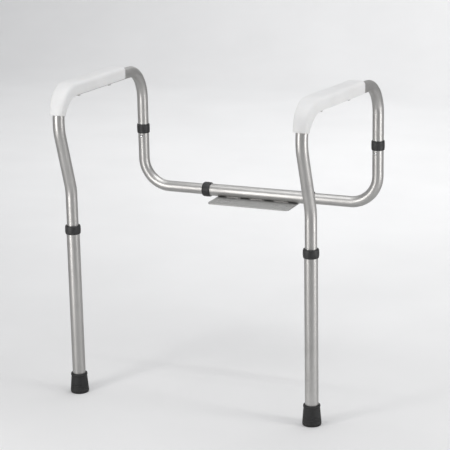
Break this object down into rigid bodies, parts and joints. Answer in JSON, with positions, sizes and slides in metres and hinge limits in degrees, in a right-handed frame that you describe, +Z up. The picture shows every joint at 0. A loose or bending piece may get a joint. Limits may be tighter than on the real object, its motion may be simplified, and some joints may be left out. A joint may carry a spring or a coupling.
{
  "type": "toilet safety frame",
  "caption": "Aluminium grab frame for a toilet: curved arms with moulded armrests on height-adjustable legs, joined by a telescoping cross tube with a plate for the seat bolts.",
  "frame": {"origin": "midway between the two seat bolts, on the underside of the mounting plate, level with the toilet rim", "axes": "+Z up, +Y towards the tank behind the seat, +X to the right of a person facing the toilet; the frame is symmetric about the YZ plane"},
  "size_m": [0.6162, 0.4712, 0.7002],
  "materials": {
    "satin_tube": "clear satin anodised, fine lengthwise brushing",
    "satin_leg": "clear satin anodised, fine lengthwise brushing",
    "bare_tube": "mill finish",
    "plate_zinc": "silver-grey powder coat",
    "armrest_plastic": "white moulded plastic with a fine satin texture",
    "collar_plastic": "black moulded nylon, satin",
    "tip_rubber": "black moulded rubber, matt",
    "snap_button": "polished, nickel plated",
    "spring_steel": "bright spring steel",
    "screw_steel": "zinc plated",
    "rivet": "bright aluminium"
  },
  "bodies": {
    "bracket": {"mounting_plate": "plate_zinc", "receiver_tube": "satin_leg", "receiver_collar_left": "collar_plastic", "receiver_collar_right": "collar_plastic"},
    "arm_left": {"cross_tube_left": "satin_tube", "rear_collar_left": "collar_plastic", "width_button_spring_left": "spring_steel", "arm_tube_left": "satin_tube", "armrest_left": "armrest_plastic", "armrest_screws_left": "screw_steel", "rear_sleeve_left": "bare_tube", "sleeve_rivet_left": "rivet", "rear_button_spring_left": "spring_steel", "leg_button_spring_left": "spring_steel"},
    "width_button_left": {"width_button_left": "snap_button"},
    "rear_button_left": {"rear_button_left": "snap_button"},
    "leg_button_left": {"leg_button_left": "snap_button"},
    "leg_left": {"leg_tube_left": "satin_leg", "leg_collar_left": "collar_plastic", "foot_tip_left": "tip_rubber", "foot_washer_left": "spring_steel"},
    "arm_right": {"cross_tube_right": "satin_tube", "rear_collar_right": "collar_plastic", "width_button_spring_right": "spring_steel", "arm_tube_right": "satin_tube", "armrest_right": "armrest_plastic", "armrest_screws_right": "screw_steel", "rear_sleeve_right": "bare_tube", "sleeve_rivet_right": "rivet", "rear_button_spring_right": "spring_steel", "leg_button_spring_right": "spring_steel"},
    "width_button_right": {"width_button_right": "snap_button"},
    "rear_button_right": {"rear_button_right": "snap_button"},
    "leg_button_right": {"leg_button_right": "snap_button"},
    "leg_right": {"leg_tube_right": "satin_leg", "leg_collar_right": "collar_plastic", "foot_tip_right": "tip_rubber", "foot_washer_right": "spring_steel"}
  },
  "joints": [
    {"name": "width_left", "type": "slide", "parent": "bracket", "child": "arm_left", "axis": [-1, 0, 0], "range_m": [-0.0254, 0.0508]},
    {"name": "leg_height_left", "type": "slide", "parent": "arm_left", "child": "leg_left", "axis": [0, 0, -1], "range_m": [-0.0254, 0.127]},
    {"name": "width_button_left_press", "type": "slide", "parent": "arm_left", "child": "width_button_left", "axis": [0, -1, 0], "range_m": [0, 0.0042], "stiffness_N_per_m": 1500, "springref_m": -0.002, "deforming": ["width_button_spring_left"]},
    {"name": "rear_button_left_press", "type": "slide", "parent": "arm_left", "child": "rear_button_left", "axis": [-0.0373, 0.9993, 0], "range_m": [0, 0.0042], "stiffness_N_per_m": 1500, "springref_m": -0.002, "deforming": ["rear_button_spring_left"]},
    {"name": "leg_button_left_press", "type": "slide", "parent": "arm_left", "child": "leg_button_left", "axis": [0.0373, -0.9993, 0], "range_m": [0, 0.0042], "stiffness_N_per_m": 1500, "springref_m": -0.002, "deforming": ["leg_button_spring_left"]},
    {"name": "width_right", "type": "slide", "parent": "bracket", "child": "arm_right", "axis": [1, 0, 0], "range_m": [-0.0254, 0.0508]},
    {"name": "leg_height_right", "type": "slide", "parent": "arm_right", "child": "leg_right", "axis": [0, 0, -1], "range_m": [-0.0254, 0.127]},
    {"name": "width_button_right_press", "type": "slide", "parent": "arm_right", "child": "width_button_right", "axis": [0, -1, 0], "range_m": [0, 0.0042], "stiffness_N_per_m": 1500, "springref_m": -0.002, "deforming": ["width_button_spring_right"]},
    {"name": "rear_button_right_press", "type": "slide", "parent": "arm_right", "child": "rear_button_right", "axis": [0.0373, 0.9993, 0], "range_m": [0, 0.0042], "stiffness_N_per_m": 1500, "springref_m": -0.002, "deforming": ["rear_button_spring_right"]},
    {"name": "leg_button_right_press", "type": "slide", "parent": "arm_right", "child": "leg_button_right", "axis": [-0.0373, -0.9993, 0], "range_m": [0, 0.0042], "stiffness_N_per_m": 1500, "springref_m": -0.002, "deforming": ["leg_button_spring_right"]}
  ]
}
